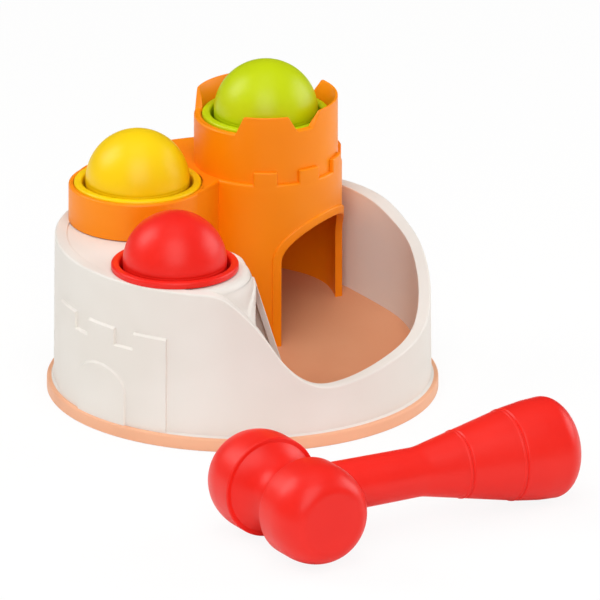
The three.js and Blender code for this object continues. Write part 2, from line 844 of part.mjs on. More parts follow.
const stationList = [
  { colour: 'green', place: tower, top: greenTop, finish: green },
  { colour: 'yellow', place: drum, top: yellowTop, finish: yellow },
  { colour: 'red', place: hood, top: redTop, finish: red },
];
for (const { colour, place, top, finish } of stationList) {
  toy.add(piece(`${colour}_ring`, stationRing(place, top), finish));
  toy.add(piece(`${colour}_grip`, stationGrip(place, top), finish));
  toy.add(piece(`${colour}_ball_upper`, ballHalf(place, top, 1), finish));
  toy.add(piece(`${colour}_ball_lower`, ballHalf(place, top, -1), finish));
}

const hammer = new THREE.Group();
hammer.position.set(hammerAcross, -baseRadius - hammerAway, headRadius);
hammer.rotation.z = toRadians(hammerTurn);
hammer.add(piece('hammer_waist', hammerWaist(), red));
hammer.add(piece('hammer_cap_front', hammerCap(-1), red));
hammer.add(piece('hammer_cap_rear', hammerCap(1), red));
hammer.add(piece('hammer_handle', hammerHandle(), red));
toy.add(hammer);

export default toy;
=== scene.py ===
import bmesh
import bpy
import numpy as np
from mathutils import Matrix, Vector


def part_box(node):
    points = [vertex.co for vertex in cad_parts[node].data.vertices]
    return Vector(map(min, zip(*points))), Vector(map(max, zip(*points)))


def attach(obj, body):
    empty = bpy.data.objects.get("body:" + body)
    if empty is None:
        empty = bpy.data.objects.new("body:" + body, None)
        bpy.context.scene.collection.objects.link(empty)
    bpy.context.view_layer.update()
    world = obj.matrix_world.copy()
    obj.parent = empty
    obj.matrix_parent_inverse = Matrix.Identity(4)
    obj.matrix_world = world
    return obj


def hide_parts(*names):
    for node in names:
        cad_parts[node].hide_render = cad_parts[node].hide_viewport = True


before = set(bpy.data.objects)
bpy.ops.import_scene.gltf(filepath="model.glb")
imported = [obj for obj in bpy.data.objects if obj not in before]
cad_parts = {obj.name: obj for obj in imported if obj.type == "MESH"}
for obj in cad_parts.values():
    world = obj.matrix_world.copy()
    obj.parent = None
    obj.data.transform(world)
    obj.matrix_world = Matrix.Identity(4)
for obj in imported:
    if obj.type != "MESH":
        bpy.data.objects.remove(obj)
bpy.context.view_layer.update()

mm = 0.001  # all sizes below are millimetres, meshes are metres
weldGap = 0.002  # points closer than this are one point
shortStep = 1e-6  # a step shorter than this is left out of a curve


# helpers

def way(degrees):
    # plan direction: degrees turned from -Y towards +X
    angle = np.radians(degrees)
    return np.stack([np.sin(angle), -np.cos(angle)], axis=-1)


def middleOf(node):
    # middle of a node's box
    low, high = np.array(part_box(node)) / mm
    return (low + high) / 2


def topOf(node):
    # height of a node's box
    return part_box(node)[1][2] / mm


def ease(t):
    # smooth step: 3t^2 - 2t^3 between 0 and 1
    t = np.clip(t, 0, 1)
    return t * t * (3 - 2 * t)


def smoothThrough(at, values, x):
    # cubic through points: each slope is that of the chord between the neighbours, level at both ends
    at, values = np.asarray(at, float), np.asarray(values, float)
    slope = np.zeros_like(values)
    slope[1:-1] = (values[2:] - values[:-2]) / (at[2:] - at[:-2])
    k = np.clip(np.searchsorted(at, x, side="right") - 1, 0, len(at) - 2)
    span = at[k + 1] - at[k]
    t = np.clip((x - at[k]) / span, 0, 1)
    ends = values[k] * (1 + 2 * t) * (1 - t) ** 2 + values[k + 1] * t * t * (3 - 2 * t)
    return ends + span * (slope[k] * t * (1 - t) ** 2 - slope[k + 1] * t * t * (1 - t))


def rounded(corners, steps=6, closed=False):
    # each corner (x, y, radius) becomes an arc: a rational quadratic between its two tangent points,
    # with the sine of half the corner's angle as the weight of the corner itself
    data = np.asarray(corners, float)
    points, radii = data[:, :2], data[:, 2]
    before = np.roll(points, 1, axis=0) - points
    after = np.roll(points, -1, axis=0) - points
    if not closed:
        before[0], after[-1] = -after[0], -before[-1]
    before = before / np.linalg.norm(before, axis=1, keepdims=True)
    after = after / np.linalg.norm(after, axis=1, keepdims=True)
    half = 0.5 * np.arccos(np.clip((before * after).sum(axis=1), -1, 1))
    cut = (radii / np.tan(half))[:, None]
    s = np.linspace(0, 1, steps)[None, :, None]
    weight = np.sin(half)[:, None, None]
    start, end = (points + before * cut)[:, None], (points + after * cut)[:, None]
    top = (1 - s) ** 2 * start + 2 * s * (1 - s) * weight * points[:, None] + s ** 2 * end
    curve = (top / ((1 - s) ** 2 + 2 * s * (1 - s) * weight + s ** 2)).reshape(-1, 2)
    if closed:
        curve = np.concatenate([curve, curve[:1]])
    far = np.linalg.norm(np.diff(curve, axis=0), axis=1) > shortStep
    return curve[np.concatenate([[True], far])]


def turned(profile, centre=(0, 0), sides=96):
    # lathe: radius and height pairs carried round a vertical axis
    profile = np.asarray(profile, float)
    plan = np.asarray(centre) + profile[None, :, :1] * way(np.linspace(0, 360, sides + 1))[:, None]
    height = np.broadcast_to(profile[None, :, 1:], plan.shape[:2] + (1,))
    return np.concatenate([plan, height], axis=-1)


def raised(plan, height):
    # plan points and their heights as points in space
    height = np.broadcast_to(height, plan.shape[:-1])
    return np.concatenate([plan, height[..., None]], axis=-1)


def makePiece(name, islands, body, finish, nodes, sharp=40):
    # every island is a list of grids that share edges: quads between neighbours, welded, faces out;
    # edges that turn by more than sharp degrees stay crisp
    whole = bmesh.new()
    for grids in islands:
        part = bmesh.new()
        corners = np.concatenate([grid.reshape(-1, 3) for grid in grids]) * mm
        quads, first = [], 0
        for grid in grids:
            rows, columns = grid.shape[:2]
            index = first + np.arange(rows * columns).reshape(rows, columns)
            sides = [index[:-1, :-1], index[1:, :-1], index[1:, 1:], index[:-1, 1:]]
            quads.append(np.stack(sides, axis=-1).reshape(-1, 4))
            first += rows * columns
        sheet = bpy.data.meshes.new(name)
        sheet.from_pydata(corners.tolist(), [], np.concatenate(quads).tolist())
        part.from_mesh(sheet)
        bmesh.ops.remove_doubles(part, verts=part.verts, dist=weldGap * mm)
        bmesh.ops.recalc_face_normals(part, faces=part.faces)
        if part.calc_volume(signed=True) < 0:
            bmesh.ops.reverse_faces(part, faces=part.faces)
        part.to_mesh(sheet)
        part.free()
        whole.from_mesh(sheet)
        bpy.data.meshes.remove(sheet)
    mesh = bpy.data.meshes.new(name)
    whole.to_mesh(mesh)
    whole.free()
    mesh.shade_smooth()
    mesh.set_sharp_from_angle(angle=np.radians(sharp))
    mesh.materials.append(finish)
    piece = bpy.data.objects.new(name, mesh)
    bpy.context.scene.collection.objects.link(piece)
    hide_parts(*nodes)
    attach(piece, body)
    return piece


def addNode(tree, kind, values=None, links=None, **settings):
    # one node with its settings, fixed inputs and links
    made = tree.nodes.new(kind)
    for key, value in settings.items():
        setattr(made, key, value)
    for key, value in (values or {}).items():
        made.inputs[key].default_value = value
    for key, source in (links or {}).items():
        tree.links.new(source, made.inputs[key])
    return made


def linear(code):
    # sRGB hex to linear: (c + 0.055) / 1.055 to the power 2.4, or c / 12.92 when dark
    c = np.array([int(code[i:i + 2], 16) for i in (1, 3, 5)]) / 255
    return (*np.where(c > 0.04045, ((c + 0.055) / 1.055) ** 2.4, c / 12.92), 1.0)


# finishes

def mouldedPlastic(name, colour, deep, roughness, grain=1.3, flow=46, scuff=11):
    # injection-moulded ABS: a satin skin with spark-eroded mould grain (mm), slow drift of tone
    # along the melt's flow (mm), and faint handling scuffs (mm) that dull the gloss in patches
    # real grain is about 0.1 mm: it is drawn coarser so that it shows
    made = bpy.data.materials.new(name)
    made.use_nodes = True
    tree = made.node_tree
    tree.nodes.clear()
    place = addNode(tree, "ShaderNodeTexCoord").outputs["Object"]
    drift = addNode(tree, "ShaderNodeTexNoise", {"Scale": 1 / (flow * mm), "Detail": 2.0}, {"Vector": place})
    tone = addNode(tree, "ShaderNodeMapRange", {"From Min": 0.35, "From Max": 0.65},
                   {"Value": drift.outputs["Fac"]})
    # a colour mix has its factor at 0, its two colours at 6 and 7 and its result at 2
    mixed = addNode(tree, "ShaderNodeMix", {6: linear(colour), 7: linear(deep)}, {0: tone.outputs["Result"]},
                    data_type="RGBA")
    pits = addNode(tree, "ShaderNodeTexNoise", {"Scale": 1 / (grain * mm), "Detail": 3.0, "Roughness": 0.6},
                   {"Vector": place})
    scuffs = addNode(tree, "ShaderNodeTexNoise",
                     {"Scale": 1 / (scuff * mm), "Detail": 6.0, "Roughness": 0.7, "Distortion": 1.5},
                     {"Vector": place})
    gloss = addNode(tree, "ShaderNodeMapRange",
                    {"From Min": 0.4, "From Max": 0.75, "To Min": roughness, "To Max": roughness + 0.1},
                    {"Value": scuffs.outputs["Fac"]})
    skin = addNode(tree, "ShaderNodeBump", {"Strength": 0.12, "Distance": 0.05 * mm},
                   {"Height": pits.outputs["Fac"]})
    shader = addNode(tree, "ShaderNodeBsdfPrincipled", {"IOR": 1.53, "Specular IOR Level": 0.28},
                     {"Base Color": mixed.outputs[2], "Roughness": gloss.outputs["Result"],
                      "Normal": skin.outputs["Normal"]})
    addNode(tree, "ShaderNodeOutputMaterial", {}, {"Surface": shader.outputs["BSDF"]})
    return made


def platedSteel(name, colour, roughness, grain=0.4):
    # zinc-plated steel: a fine crystalline tarnish over bright metal
    made = bpy.data.materials.new(name)
    made.use_nodes = True
    tree = made.node_tree
    tree.nodes.clear()
    place = addNode(tree, "ShaderNodeTexCoord").outputs["Object"]
    bloom = addNode(tree, "ShaderNodeTexNoise", {"Scale": 1 / (grain * mm), "Detail": 4.0}, {"Vector": place})
    gloss = addNode(tree, "ShaderNodeMapRange", {"To Min": roughness, "To Max": roughness + 0.25},
                    {"Value": bloom.outputs["Fac"]})
    shader = addNode(tree, "ShaderNodeBsdfPrincipled", {"Base Color": linear(colour), "Metallic": 1.0},
                     {"Roughness": gloss.outputs["Result"]})
    addNode(tree, "ShaderNodeOutputMaterial", {}, {"Surface": shader.outputs["BSDF"]})
    return made


finishes = {
    "white": mouldedPlastic("warmWhiteAbs", "#ECE7E0", "#E7E1D9", 0.42),
    "salmon": mouldedPlastic("peachAbs", "#F4B893", "#EFB18C", 0.42),
    # the ramp floor is the same peach plastic as the base plate, made darker here as painted shade for the
    # shadow inside the round wall
    "floor": mouldedPlastic("shadedPeachFloorAbs", "#E4A37B", "#DE9B73", 0.46),
    "orange": mouldedPlastic("orangeAbs", "#FF9200", "#FA8B00", 0.38),
    "green": mouldedPlastic("limeAbs", "#C6D700", "#BECF00", 0.34),
    "yellow": mouldedPlastic("yellowAbs", "#FBD202", "#F6CA02", 0.34),
    "red": mouldedPlastic("redAbs", "#F4271C", "#EE2117", 0.34),
    "greenSoft": mouldedPlastic("limeElastomer", "#A9BC10", "#A2B40E", 0.6),
    "yellowSoft": mouldedPlastic("yellowElastomer", "#D9B20F", "#D2AA0C", 0.6),
    "redSoft": mouldedPlastic("redElastomer", "#CC2820", "#C4241C", 0.6),
    "steel": platedSteel("zincPlatedSteel", "#B9BCC0", 0.28),
}
print("finishes made:", len(finishes))

# places taken from the frame
tower, drum, hood = (middleOf(f"{colour}_ring")[:2] for colour in ("green", "yellow", "red"))
deckTop = topOf("hood_deck")
crownTop = topOf("tower_crown")
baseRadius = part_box("base_plate")[1][0] / mm
baseTop = topOf("base_plate")

# base plate
base = {"edge": 1.1, "foot": 0.8, "band": 8, "sides": 180}


def basePlate():
    # lathe of a flat disc with a rounded top edge
    profile = rounded([(0, 0, 0), (baseRadius, 0, base["foot"]), (baseRadius, baseTop, base["edge"]),
                       (baseRadius - base["band"], baseTop, 0), (0, baseTop, 0)])
    return [[turned(profile, sides=base["sides"])]]


makePiece("basePlate", basePlate(), "castle", finishes["salmon"], ["base_plate"])

# sloped floor
ramp = {
    "radius": 81.0, "level": 8, "blend": 1.6, "rings": 60, "rays": 181,
    "tray": (12, 0.24, 194.4), "chute": (8, 0.15, 270),  # height at the middle, slope, heading uphill
    "dishFrom": 52, "dishAt": [40, 85, 110, 127, 138, 165], "dish": [0, 4.6, 5.0, 3.0, 2.0, 0],
}


def rampFloor():
    # polar grid: height is a soft maximum of the level front and two slopes,
    # 0.5 (a + b + root((a-b)^2 + e^2)), and the tray's outer part eases up towards the wall
    radius = np.linspace(0, ramp["radius"], ramp["rings"])[:, None]
    headings = np.linspace(0, 360, ramp["rays"])
    plan = radius[..., None] * way(headings)[None]
    height = np.full(plan.shape[:2], float(ramp["level"]))
    for start, rise, uphill in (ramp["chute"], ramp["tray"]):
        slope = start + rise * plan @ way(uphill)
        height = 0.5 * (height + slope + np.sqrt((height - slope) ** 2 + ramp["blend"] ** 2))
    outward = ease((radius - ramp["dishFrom"]) / (ramp["radius"] - ramp["dishFrom"]))
    height = height + outward * smoothThrough(ramp["dishAt"], ramp["dish"], headings)[None]
    edge, foot = plan[-1], np.full(len(headings), baseTop)
    side = raised(np.stack([edge, edge, 0 * edge]), np.stack([height[-1], foot, foot]))
    return [[raised(plan, height), side]]


# the floor's finish carries painted shade: a darker copy of the plate's peach
makePiece("rampFloor", rampFloor(), "castle", finishes["floor"], ["ramp_floor"])

# round wall with the castle picture in low relief
wall = {
    "outer": 86.8, "draft": 0.4, "width": 5.7, "rimOut": 1.0, "rimIn": 0.4, "rimLow": 27.4,
    "bead": 1.1, "beadTop": 0.8, "beadRows": [1.0, 1.05], "columns": 230, "upperRows": 10, "rimSteps": 9,
    "headings": [-15, -6, 4, 14, 22, 31, 52, 76, 90, 108, 120, 129, 136, 146, 168],
    "shares": [1, 0.96, 0.675, 0.24, 0.046, 0, 0.085, 0.205, 0.39, 0.68, 0.82, 0.92, 0.965, 0.992, 1],
    "thickAt": [106, 130, 138, 154], "thicker": [0, 2, 2, 0], "shaft": 27.4,
}
picture = {
    "heading": -48.3, "proud": 1.2, "top": 52, "notch": 7.8, "merlon": 11.8, "gap": 7.0,
    "edge": 0.8, "side": 0.3, "step": 0.36, "margin": 2,
    "doorWidth": 32, "doorSpring": 21.5, "doorApex": 33, "doorProud": 0.9, "doorSide": 0.45,
}


def rimHeight(heading):
    # smooth curve through shares of the way from the low front to the deck
    at = wall["headings"]
    share = smoothThrough(at, wall["shares"], np.mod(heading - at[0], 360) + at[0])
    return wall["rimLow"] + (deckTop - wall["rimLow"]) * share


def pictureRelief(heading, height):
    # distance to the outline (union of boxes, and an arch) turned into a ramp of the edge's width
    across = np.radians(heading - picture["heading"]) * wall["outer"]
    pitch = np.radians(picture["merlon"] + picture["gap"]) * wall["outer"]
    half = np.radians(picture["merlon"] / 2) * wall["outer"]

    def toBox(centre, width, top):
        # signed distance; sideways it is stretched, so that the sides come out steeper than the tops
        sideways, above = (np.abs(across - centre) - width) * picture["edge"] / picture["side"], height - top
        outside = np.hypot(np.maximum(sideways, 0), np.maximum(above, 0))
        return outside + np.minimum(np.maximum(sideways, above), 0)

    panel = toBox(0, pitch + half, picture["top"] - picture["notch"])
    for step in (-1, 0, 1):
        panel = np.minimum(panel, toBox(step * pitch, half, picture["top"]))
    wide, rise = picture["doorWidth"] / 2, picture["doorApex"] - picture["doorSpring"]
    lift = np.maximum(height - picture["doorSpring"], 0)
    edge = picture["edge"]
    upright = np.clip(1 - lift / rise, 0, 1) ** 2
    steep = rise + (wide * edge / picture["doorSide"] - rise) * upright
    door = (np.hypot(across / wide, lift / rise) - 1) * steep
    castle = picture["proud"] * np.clip(-panel / edge, 0, 1)
    return castle + picture["doorProud"] * np.clip(-door / edge, 0, 1)


def castleWall():
    # closed section of foot, outer face, rounded rim and inner face, carried round; the rim's height
    # stretches each section, and the relief moves the outer face out. Rows and columns lie on the
    # relief's edges.
    reach = picture["merlon"] * 1.5 + picture["gap"] + picture["margin"]
    turn, edge = np.degrees(1 / wall["outer"]), picture["edge"]
    pitch, half = picture["merlon"] + picture["gap"], picture["merlon"] / 2
    lines = [k * pitch + side * (half - inset) for k in (-1, 0, 1) for side in (-1, 1)
             for inset in (0, picture["side"] * turn)]
    lines += [side * (picture["doorWidth"] / 2 - inset) * turn for side in (-1, 1)
              for inset in (0, picture["doorSide"])]
    fine = np.concatenate([np.arange(-reach, reach, picture["step"] * turn), lines])
    fine = np.unique(fine.round(4)) + picture["heading"]
    coarse = np.linspace(fine[-1], fine[0] + 360, wall["columns"])
    heading = np.concatenate([fine[:-1], coarse])
    top = rimHeight(heading)
    levels = [picture["top"] - drop - inset for drop in (0, picture["notch"]) for inset in (0, edge)]
    even = np.arange(baseTop, picture["top"] + picture["margin"], picture["step"])
    beadRows = baseTop + wall["beadTop"] * np.array(wall["beadRows"])
    low = np.unique(np.concatenate([even, levels, beadRows]).round(4))
    rows = np.concatenate([low, np.linspace(low[-1], deckTop, wall["upperRows"])[1:]])
    rows = (rows - baseTop) / (deckTop - baseTop)
    rimOut, rimIn, width = wall["rimOut"], wall["rimIn"], wall["width"]
    height = baseTop + rows[None] * (top[:, None] - rimOut - baseTop)
    bare = wall["outer"] - wall["draft"] * (height - baseTop) / (deckTop - baseTop)
    bead = wall["bead"] * np.clip(1 - (height - baseTop) / wall["beadTop"], 0, 1)
    outer = bare + np.maximum(bead, pictureRelief(np.mod(heading[:, None] + 180, 360) - 180, height))
    crest = [(0, -rimOut, 0), (0, 0, rimOut), (-width, 0, rimIn), (-width, -rimOut, 0)]
    crest = rounded(crest, wall["rimSteps"])[1:]
    # thicker beside the tower, and cut back where the red ball's shaft reaches into the wall
    thick = width + smoothThrough(wall["thickAt"], wall["thicker"], np.mod(heading, 360))
    along = way(heading) @ hood
    past = along + np.sqrt(np.maximum(wall["shaft"] ** 2 - hood @ hood + along ** 2, 0))
    thick = np.minimum(thick, outer[:, -1] - np.where(along > 0, past, 0))
    crestRadius = outer[:, -1:] + crest[None, :, 0] * thick[:, None] / width
    crestHeight = top[:, None] + crest[None, :, 1]
    foot = np.stack([crestRadius[:, -1], outer[:, 0]], axis=1)
    radius = np.concatenate([outer, crestRadius, foot], axis=1)
    footHeight = np.full(foot.shape, baseTop)
    heights = np.concatenate([height, crestHeight, footHeight], axis=1)
    return [[raised(radius[..., None] * way(heading)[:, None], heights)]]


makePiece("castleWall", castleWall(), "castle", finishes["white"], ["castle_wall"], sharp=30)
print("base, floor and wall made")


# walls with an arched doorway
arch = {"jamb": 25, "over": 97, "across": 33}  # points up a jamb, over the arch, and out to the wall's edges
trim = {"slope": 0.3, "fillet": 0.15, "flat": 0.9, "steps": 5}  # foot of the raised band


def archSheet(door, section, toFace, onFace, sides, outerTop, innerTop):
    # columns run along the arch, from one foot over the top to the other. Rows start at the far edge of the
    # inner face, lead to the doorway, follow the section square to the arch (reveal and surround), and lead
    # on over the outer face: a side of the wall is the far edge for the jambs, its top for the arch.
    half, spring, rise = door["width"] / 2, door["spring"], door["apex"] - door["spring"]
    jamb = np.linspace(door["foot"], spring, arch["jamb"])[:-1]
    turn = np.radians(np.linspace(180, 0, arch["over"]))
    flat, zero = np.full(len(jamb), half), np.zeros(len(jamb))
    x = np.concatenate([-flat, half * np.cos(turn), flat])[:, None]
    z = np.concatenate([jamb, spring + rise * np.sin(turn), jamb[::-1]])[:, None]
    nx = np.concatenate([-flat, np.cos(turn) / half, flat])[:, None]
    nz = np.concatenate([zero, np.sin(turn) / rise, zero])[:, None]
    size = np.hypot(nx, nz)
    away, lift, front = section.T[:, None, :]
    height = z + away * nz / size
    near, angle = toFace(x, away * nx / size, height, lift, front)
    t = np.linspace(0, 1, arch["across"])[None, 1:]
    left, right = sides
    farAngle = np.concatenate([zero + left, np.linspace(left, right, len(turn)), zero + right])[:, None]
    faces = []
    for end, top, depth in ((0, innerTop, lift[0, 0]), (-1, outerTop, 0.0)):
        farHeight = np.concatenate([jamb, np.full(len(turn), top), jamb[::-1]])[:, None]
        heading = angle[:, end, None] * (1 - t) + farAngle * t
        faces.append(onFace(heading, depth + 0 * heading, height[:, end, None] * (1 - t) + farHeight * t))
    inner, outer = faces
    sheet = np.concatenate([inner[:, ::-1], near, outer], axis=1)
    count = len(jamb)
    edges = [np.stack([part[:, 0], part[:, -1]]) for part in (sheet[:count], sheet[-count:])]
    return sheet, edges, farAngle[count:-count, 0]


def surround(door, more=()):
    # reveal and raised band with rounded edges, as distance from the arch, height and share of the porch
    band, proud, soft = door["band"], door["proud"], door["soft"]
    foot = [(band + trim["slope"], 0, trim["fillet"]), (band + trim["flat"], 0, 0)]
    corners = [(0, -door["depth"], 0), (0, proud, soft), (band, proud, soft), *foot, *more]
    line = rounded(corners, trim["steps"])
    return np.column_stack([line, np.ones(len(line))])


# hood and deck
hoodShape = {
    "radius": 33.9, "flare": 0.31, "edge": 4.5, "start": 15.0, "end": 178.0, "wall": 2.5, "inside": 81.2,
    "sunk": 0.5,  # the deck lies under the rim, so that its edge shows as a line
    "hole": 27.5, "join": 40, "drumRadius": 31.8, "drumHole": 25.5, "underDrum": 31.0,
    "porch": 7.0, "corner": 1.2, "tuck": 0.3,
    "keep": 3, "clear": 0.01,  # last section point that keeps its depth, square of a distance off the arch
    "brow": 9, "browSteps": 9, "skip": 7, "rays": 158, "rings": 6,
    "drawFrom": 44, "drawOver": 14, "easeFrom": 60, "easeOver": 9,
    "collar": {"near": 31.4, "far": 38.0, "from": 195, "to": 325, "sides": 121, "drop": 0.02},
    "swellAt": [15, 30, 55, 70, 84, 97, 110, 122, 140, 178],
    "swell": [0, 0, -0.9, -1.2, -1.7, -1.4, 0, 2.0, 2.4, 0],
    "door": {"heading": 97, "width": 49.2, "spring": 43, "apex": 62.1, "foot": 6.2, "band": 4.4, "proud": 1.0,
             "soft": 0.6, "depth": 1.8},
}


def hoodDeck():
    # flat deck as a fan of rays from the red hole to its edges; a rounded edge; then a wall that leans out
    # round the station and runs straight on to the drum. The far half of its doorway is flat: a porch
    # that stands out of the round wall.
    shape, door = hoodShape, hoodShape["door"]
    radius, flare, inside, depth = shape["radius"], shape["flare"], shape["inside"], shape["wall"]
    toJoin = drum + shape["drumRadius"] * way(shape["join"]) - hood
    bearing = np.mod(np.degrees(np.arctan2(toJoin[0], -toJoin[1])), 360)
    tangent = bearing - np.degrees(np.arccos(radius / np.linalg.norm(toJoin)))
    deck = deckTop - shape["sunk"]

    def kept(plan):
        # pulled in to the round wall's inside
        return plan * np.minimum(1, inside / np.linalg.norm(plan, axis=-1, keepdims=True))

    def toCircle(heading, centre, size, far):
        # distance along a ray from the hood's axis to a circle, near or far side
        along = way(heading) @ (np.asarray(centre) - hood)
        under = size ** 2 - np.sum((hood - np.asarray(centre)) ** 2) + along ** 2
        hit = along + (1 if far else -1) * np.sqrt(np.maximum(under, 0))
        return np.where((under > 0) & (hit > 0), hit, np.inf)

    def swell(heading):
        # the wall's plan leaves the circle a little: in beside the doorway, out behind it
        return smoothThrough(shape["swellAt"], shape["swell"], heading)

    def drawn(heading, height):
        # the draw-in: none at the floor, whole beside the arch, none at the deck
        grows = ease((height - shape["drawFrom"]) / shape["drawOver"])
        fades = 1 - ease((height - shape["easeFrom"]) / shape["easeOver"])
        return np.minimum(swell(heading), 0) * grows * fades

    def onWall(heading, out, height):
        # a point of the leaning wall, kept inside the round wall
        out = out + drawn(heading, height) + np.maximum(swell(heading), 0)
        straight = radius / np.cos(np.radians(np.maximum(heading - tangent, 0)))
        edge = np.minimum(straight, toCircle(heading, (0, 0), inside, True))
        lean = out + flare * (deckTop - height)
        plan = hood + way(heading) * edge[..., None] + way(np.minimum(heading, tangent)) * lean[..., None]
        return raised(kept(plan), height)

    def toFace(x, side, height, lift, front):
        # on the near half the cone, on the far half between the cone and the plane that touches it; past
        # the inner face and the reveal, a sunk point comes up where the porch doesn't stand out
        cone = radius + flare * (deckTop - height)
        facing = np.arcsin(np.clip(x / cone, -1, 1)) + side / cone
        x = np.where(x < 0, cone * np.sin(facing), x + side)
        reach = cone + drawn(door["heading"] + np.degrees(facing), height)
        bare = np.sqrt(np.maximum(reach ** 2 - x ** 2, 1))
        stands = np.where(x > 0, reach - bare, 0)
        sunk = (lift < 0) & (side ** 2 > shape["clear"])
        dip = np.where(sunk, np.clip(stands / shape["corner"], 0, 1), 1)
        lift = np.where(np.arange(lift.shape[1]) > shape["keep"], lift * dip, lift)
        lifted = np.sqrt(np.maximum((reach + lift) ** 2 - x ** 2, 1))
        ahead = lifted + front * np.where(x > 0, reach + lift - lifted, 0)
        plan = hood + ahead[..., None] * way(door["heading"]) + x[..., None] * way(door["heading"] + 90)
        return raised(kept(plan), height), door["heading"] + np.degrees(np.arctan2(x, ahead))

    wide, corner = shape["porch"], shape["corner"]
    room = wide - depth
    inner = np.array([(room, -depth, 0), (room, -depth, 1)])
    outer = surround(door, [(wide, 0, corner), (wide, -corner - shape["tuck"], 0)])
    section = np.concatenate([inner, outer, [(wide, 0, 0)]])
    size = shape["brow"]
    brow = [(-size, deck, 0), (0, deck, shape["edge"]), (flare * size, deck - size, 0)]
    brow = rounded(brow, shape["browSteps"])[1:-1]
    under = deck - depth
    sides = (shape["start"], shape["end"])
    sheet, edges, heading = archSheet(door, section, toFace, onWall, sides, brow[-1, 1], under)
    across = np.broadcast_to(heading[:, None], (len(heading), len(brow)))
    high = np.broadcast_to(brow[None, :, 1], across.shape)
    bend = onWall(across, brow[None, :, 0] - flare * (deckTop - high), high)
    count = (len(sheet) - len(heading)) // 2
    t = np.linspace(0, 1, shape["rings"])[None, :, None]
    first, last, skip = shape["end"], shape["start"] + 360, shape["skip"]  # skipped, so that no ray folds over
    rest = np.concatenate([[first], np.linspace(first + skip, last - skip, shape["rays"]), [last]])
    limit = np.minimum(toCircle(rest, (0, 0), inside, True), toCircle(rest, drum, shape["underDrum"], False))
    limit = np.maximum(limit, shape["hole"])  # none left where the shaft reaches the round wall
    grids = [sheet, bend, *edges]
    overDoor, underDoor = bend[:, 0, :2], sheet[count:-count, 0, :2]
    behind = hood + way(rest) * limit[:, None]
    # the two fans share their end rays, so that no slit is left
    meet = [np.concatenate([ends[-1:], behind[1:-1], ends[:1]]) for ends in (overDoor, underDoor)]
    for turn, top, low in ((heading, overDoor, underDoor), (rest, *meet)):
        hole = hood + shape["hole"] * way(turn)
        fans = [raised(hole[:, None] * (1 - t) + end[:, None] * t, z)
                for end, z in ((top, deck), (low, under))]
        grids += [*fans, np.stack([fans[0][:, 0], fans[1][:, 0]])]
    grids.append(np.stack([fans[0][:, -1], fans[1][:, -1]]))
    # collar under the drum, wider towards the round wall
    rim = shape["collar"]
    around = np.linspace(0, 360, rim["sides"])
    far = np.where((around > rim["from"]) & (around < rim["to"]), rim["far"], rim["near"])
    bore = np.full(len(far), shape["drumHole"])
    ring = np.stack([bore, far, far, bore], axis=1)
    level = deck - rim["drop"] - np.array([0, 0, depth, depth])
    collar = raised(kept(drum + ring[..., None] * way(around)[:, None]), level[None])
    return [grids, [np.concatenate([collar, collar[:, :1]], axis=1)]]


makePiece("hoodDeck", hoodDeck(), "castle", finishes["white"], ["hood_deck"])
print("hood and deck made")

# orange castle body
body = {
    "top": 92.8, "edge": 1.2, "drumRadius": 31.8, "seat": 29.7, "recess": 90.7, "hole": 27.5, "wall": 2.6,
    "seatEdge": 0.5, "holeEdge": 0.3, "sides": 120, "link": 61, "join": 36, "linkLength": 22, "back": 83.9,
    "tower": 35.0, "step": 1.6, "crownSeat": 88.0, "shoulder": 4, "lap": 0.4,
    "merlons": {"heading": 53.6, "count": 4, "pitch": 36, "width": 18.5, "height": 6.0, "soft": 0.6,
                "lap": 0.2, "backEdge": 0.2, "sunk": 1, "columns": 25, "crowd": 1.6},
    "door": {"heading": 56.4, "width": 49.2, "spring": 54.7, "apex": 71.6, "foot": 6.2, "band": 4.1,
             "proud": 0.9, "soft": 0.7, "depth": 2.5},
    "backing": 0.92, "backingFrom": 60, "backingOver": 50, "backingGap": 0.1,
    "platform": {"across": 41, "along": 33, "width": 90, "towerLap": 1.2, "drumLap": 1.0, "drumTurn": 245,
                 "towerTurn": 188, "ends": 8, "sunk": 0.04, "bends": 7},
}


def doorTower():
    # tube round the tower's axis with a framed doorway, closed at its back, with a rounded top edge
    door, radius = body["door"], body["tower"]

    def onTube(heading, out, height):
        # the inner face draws in behind the doorway, so that the round wall's inside stays covered
        behind = ease((np.abs(heading - door["heading"]) - body["backingFrom"]) / body["backingOver"])
        inner = out < body["backingGap"] - door["depth"]
        out = np.where(inner, out * (1 + body["backing"] * behind), out)
        return raised(tower + way(heading) * (radius + out)[..., None], height)

    def toFace(x, side, height, lift, front):
        # the arch's width is measured straight across, what lies beyond it along the tube
        angle = door["heading"] + np.degrees(np.arcsin(x / radius) + side / radius)
        return onTube(angle, lift + 0 * angle, height + 0 * angle), angle

    top = body["top"]
    back = -body["step"] - body["lap"]
    edge = rounded([(0, top - body["shoulder"], 0), (0, top, body["edge"]), (back, top, 0)])
    sides = (door["heading"] - 180, door["heading"] + 180)
    sheet, _, heading = archSheet(door, surround(door), toFace, onTube, sides, edge[0, 1], body["crownSeat"])
    heading = np.broadcast_to(heading[:, None], (len(heading), len(edge)))
    brow = onTube(heading, np.broadcast_to(edge[None, :, 0], heading.shape), edge[None, :, 1])
    count = (len(sheet) - len(heading)) // 2
    lid = np.stack([brow[:, -1], sheet[count:-count, 0]])
    return [[sheet, brow, lid]]


